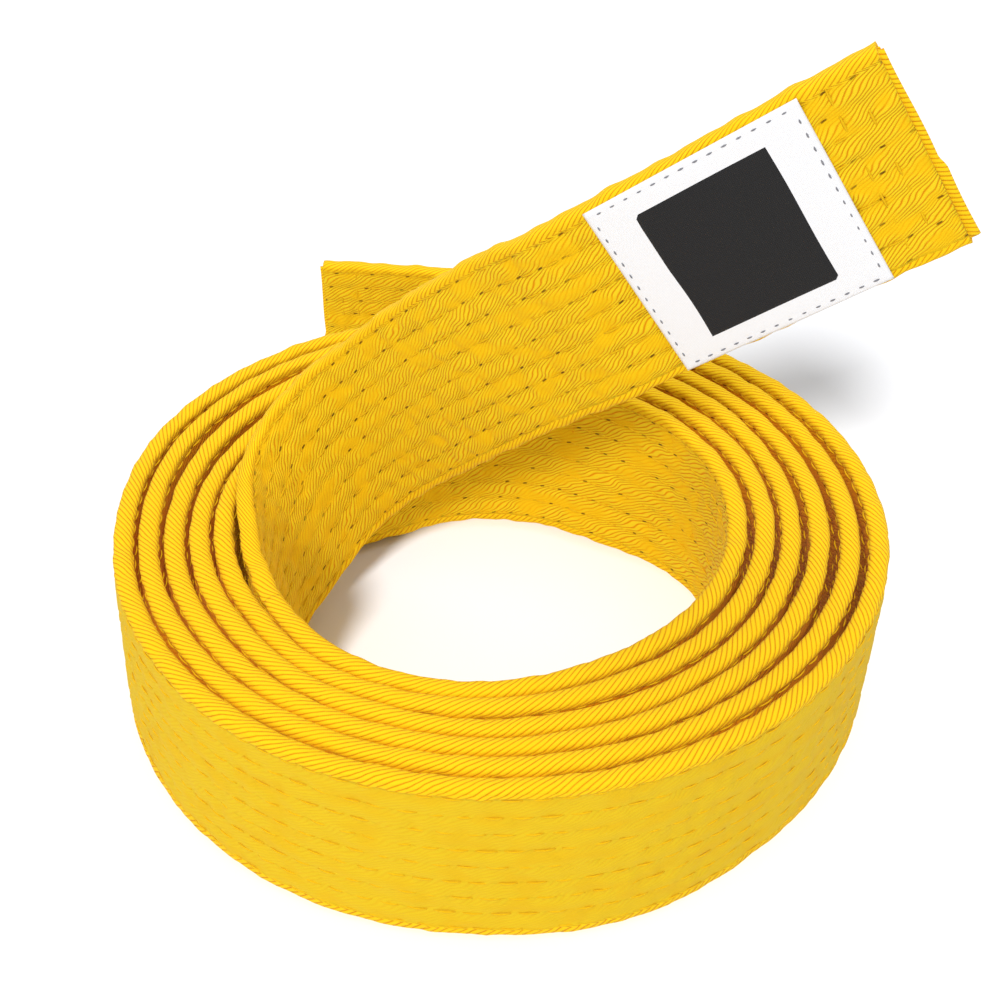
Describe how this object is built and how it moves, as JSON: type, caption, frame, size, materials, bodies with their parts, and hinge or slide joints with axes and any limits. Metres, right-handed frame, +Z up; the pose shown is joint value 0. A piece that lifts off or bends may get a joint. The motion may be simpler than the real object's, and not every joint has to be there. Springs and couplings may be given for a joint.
{
  "type": "martial arts belt",
  "caption": "Coiled quilted cotton martial arts belt on its edge, label end raised across the coil, other end loose behind it.",
  "frame": {"origin": "centre of the coil, on the surface that the belt stands on", "axes": "+Z up, along the belt's width in the coil; +X towards the side over which the label end is raised; -Y towards the front of the coil"},
  "size_m": [0.1684, 0.1979, 0.1455],
  "materials": {
    "cover_twill": "golden yellow cotton twill, matt",
    "core_webbing": "undyed plain cotton webbing",
    "quilting_thread": "yellow cotton sewing thread",
    "label_satin": "white woven satin",
    "label_weave": "black woven panel",
    "label_thread": "pale grey sewing thread"
  },
  "bodies": {
    "coil": {"cover_coil": "cover_twill", "ply_1_coil": "core_webbing", "ply_2_coil": "core_webbing", "ply_3_coil": "core_webbing", "ply_4_coil": "core_webbing", "stitch_row_1_coil": "quilting_thread", "stitch_row_2_coil": "quilting_thread", "stitch_row_3_coil": "quilting_thread", "stitch_row_4_coil": "quilting_thread", "stitch_row_5_coil": "quilting_thread", "stitch_row_6_coil": "quilting_thread", "stitch_row_7_coil": "quilting_thread", "stitch_row_8_coil": "quilting_thread", "stitch_row_9_coil": "quilting_thread"},
    "label_end": {"cover_label_end": "cover_twill", "ply_1_label_end": "core_webbing", "ply_2_label_end": "core_webbing", "ply_3_label_end": "core_webbing", "ply_4_label_end": "core_webbing", "stitch_row_1_label_end": "quilting_thread", "stitch_row_2_label_end": "quilting_thread", "stitch_row_3_label_end": "quilting_thread", "stitch_row_4_label_end": "quilting_thread", "stitch_row_5_label_end": "quilting_thread", "stitch_row_6_label_end": "quilting_thread", "stitch_row_7_label_end": "quilting_thread", "stitch_row_8_label_end": "quilting_thread", "stitch_row_9_label_end": "quilting_thread", "hem_fold_label_end": "cover_twill", "hem_stitching_label_end": "quilting_thread", "label": "label_satin", "label_panel": "label_weave", "label_stitching": "label_thread"},
    "outer_end": {"cover_outer_end": "cover_twill", "ply_1_outer_end": "core_webbing", "ply_2_outer_end": "core_webbing", "ply_3_outer_end": "core_webbing", "ply_4_outer_end": "core_webbing", "stitch_row_1_outer_end": "quilting_thread", "stitch_row_2_outer_end": "quilting_thread", "stitch_row_3_outer_end": "quilting_thread", "stitch_row_4_outer_end": "quilting_thread", "stitch_row_5_outer_end": "quilting_thread", "stitch_row_6_outer_end": "quilting_thread", "stitch_row_7_outer_end": "quilting_thread", "stitch_row_8_outer_end": "quilting_thread", "stitch_row_9_outer_end": "quilting_thread", "hem_fold_outer_end": "cover_twill", "hem_stitching_outer_end": "quilting_thread"}
  },
  "joints": [
    {"name": "label_end_bend", "type": "hinge", "parent": "coil", "child": "label_end", "pos_m": [-0.04349, -0.03045, 0.02], "axis": [0, 0, -1], "range_deg": [0, 20], "stiffness_Nm_per_rad": 0.02},
    {"name": "outer_end_bend", "type": "hinge", "parent": "coil", "child": "outer_end", "pos_m": [0.05211, 0.06915, 0.02], "axis": [0, 0, -1], "range_deg": [0, 30], "stiffness_Nm_per_rad": 0.02}
  ]
}
